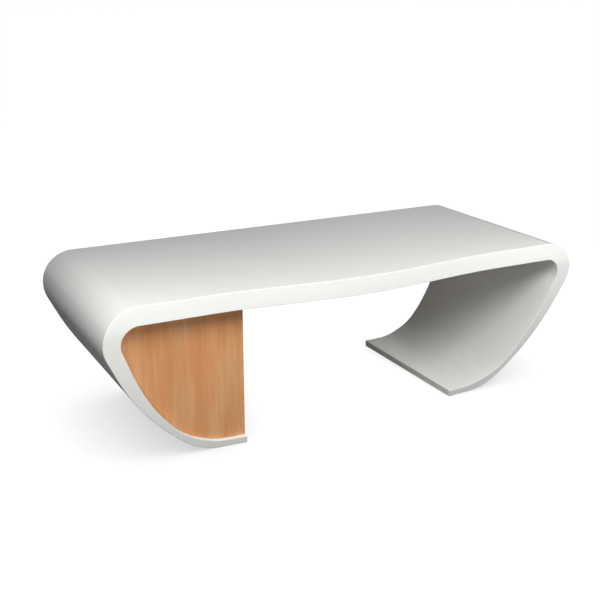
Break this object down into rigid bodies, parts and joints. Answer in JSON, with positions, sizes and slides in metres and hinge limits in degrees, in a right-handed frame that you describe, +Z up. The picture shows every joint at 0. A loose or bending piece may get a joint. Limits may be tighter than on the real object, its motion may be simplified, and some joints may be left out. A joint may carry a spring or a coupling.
{
  "type": "executive office desk",
  "caption": "Executive desk: a white gloss worktop with a bowed visitor edge curls down into tapered legs; the left curl holds a wood pedestal with drawers.",
  "frame": {"origin": "on the floor, under the middle of the desk's bounding box", "axes": "+X along the desk from the pedestal end to the open end, +Y towards the person who sits at it, +Z up"},
  "size_m": [2.4, 1.044, 0.74],
  "materials": {
    "white_lacquer": "bent and veneered wood board under a high gloss white lacquer",
    "white_board": "white faced wood board, satin",
    "cherry_veneer": "light cherry veneer with upright grain, satin lacquer",
    "cherry_lipping": "solid cherry edge strip, satin lacquer",
    "beech": "plain beech, matt lacquer",
    "zinc_steel": "bright zinc plated sheet steel",
    "grey_nylon": "grey nylon"
  },
  "bodies": {
    "desk": {"worktop_upper_skin": "white_lacquer", "worktop_lower_skin": "white_lacquer", "worktop_front_rail": "white_lacquer", "worktop_back_rail": "white_lacquer", "worktop_left_end_rail": "white_lacquer", "worktop_right_end_rail": "white_lacquer", "worktop_left_rib": "white_board", "worktop_right_rib": "white_board", "left_end_shell": "white_lacquer", "right_end_shell": "white_lacquer", "left_front_joint_bolt": "zinc_steel", "left_back_joint_bolt": "zinc_steel", "right_front_joint_bolt": "zinc_steel", "right_back_joint_bolt": "zinc_steel", "left_front_joint_dowel": "beech", "left_back_joint_dowel": "beech", "right_front_joint_dowel": "beech", "right_back_joint_dowel": "beech", "left_front_glide": "grey_nylon", "left_back_glide": "grey_nylon", "right_front_glide": "grey_nylon", "right_back_glide": "grey_nylon", "visitor_fascia": "cherry_veneer", "fascia_edge_lipping": "cherry_lipping", "pedestal_inner_side_panel": "cherry_veneer", "pedestal_bottom_panel": "white_board", "pedestal_lower_divider": "white_board", "pedestal_upper_divider": "white_board", "bottom_panel_cleat": "beech", "lower_divider_cleat": "beech", "upper_divider_cleat": "beech", "bottom_drawer_left_runner_cabinet_member": "zinc_steel", "bottom_drawer_right_runner_cabinet_member": "zinc_steel", "middle_drawer_left_runner_cabinet_member": "zinc_steel", "middle_drawer_right_runner_cabinet_member": "zinc_steel", "top_drawer_left_runner_cabinet_member": "zinc_steel", "top_drawer_right_runner_cabinet_member": "zinc_steel"},
    "bottom_drawer": {"bottom_drawer_front": "cherry_veneer", "bottom_drawer_box": "beech", "bottom_drawer_floor": "white_board", "bottom_drawer_left_runner_drawer_member": "zinc_steel", "bottom_drawer_right_runner_drawer_member": "zinc_steel"},
    "bottom_drawer_runners": {"bottom_drawer_left_runner_intermediate_member": "zinc_steel", "bottom_drawer_right_runner_intermediate_member": "zinc_steel"},
    "middle_drawer": {"middle_drawer_front": "cherry_veneer", "middle_drawer_box": "beech", "middle_drawer_floor": "white_board", "middle_drawer_left_runner_drawer_member": "zinc_steel", "middle_drawer_right_runner_drawer_member": "zinc_steel"},
    "middle_drawer_runners": {"middle_drawer_left_runner_intermediate_member": "zinc_steel", "middle_drawer_right_runner_intermediate_member": "zinc_steel"},
    "top_drawer": {"top_drawer_front": "cherry_veneer", "top_drawer_box": "beech", "top_drawer_floor": "white_board", "top_drawer_left_runner_drawer_member": "zinc_steel", "top_drawer_right_runner_drawer_member": "zinc_steel"},
    "top_drawer_runners": {"top_drawer_left_runner_intermediate_member": "zinc_steel", "top_drawer_right_runner_intermediate_member": "zinc_steel"}
  },
  "joints": [
    {"name": "bottom_drawer_slide", "type": "slide", "parent": "desk", "child": "bottom_drawer", "axis": [0, 1, 0], "range_m": [0, 0.5]},
    {"name": "bottom_drawer_runner_slide", "type": "slide", "parent": "desk", "child": "bottom_drawer_runners", "axis": [0, 1, 0], "range_m": [0, 0.25]},
    {"name": "middle_drawer_slide", "type": "slide", "parent": "desk", "child": "middle_drawer", "axis": [0, 1, 0], "range_m": [0, 0.5]},
    {"name": "middle_drawer_runner_slide", "type": "slide", "parent": "desk", "child": "middle_drawer_runners", "axis": [0, 1, 0], "range_m": [0, 0.25]},
    {"name": "top_drawer_slide", "type": "slide", "parent": "desk", "child": "top_drawer", "axis": [0, 1, 0], "range_m": [0, 0.5]},
    {"name": "top_drawer_runner_slide", "type": "slide", "parent": "desk", "child": "top_drawer_runners", "axis": [0, 1, 0], "range_m": [0, 0.25]}
  ],
  "couplings": [
    {"joint": "bottom_drawer_runner_slide", "follows": "bottom_drawer_slide", "ratio": 0.5},
    {"joint": "middle_drawer_runner_slide", "follows": "middle_drawer_slide", "ratio": 0.5},
    {"joint": "top_drawer_runner_slide", "follows": "top_drawer_slide", "ratio": 0.5}
  ]
}
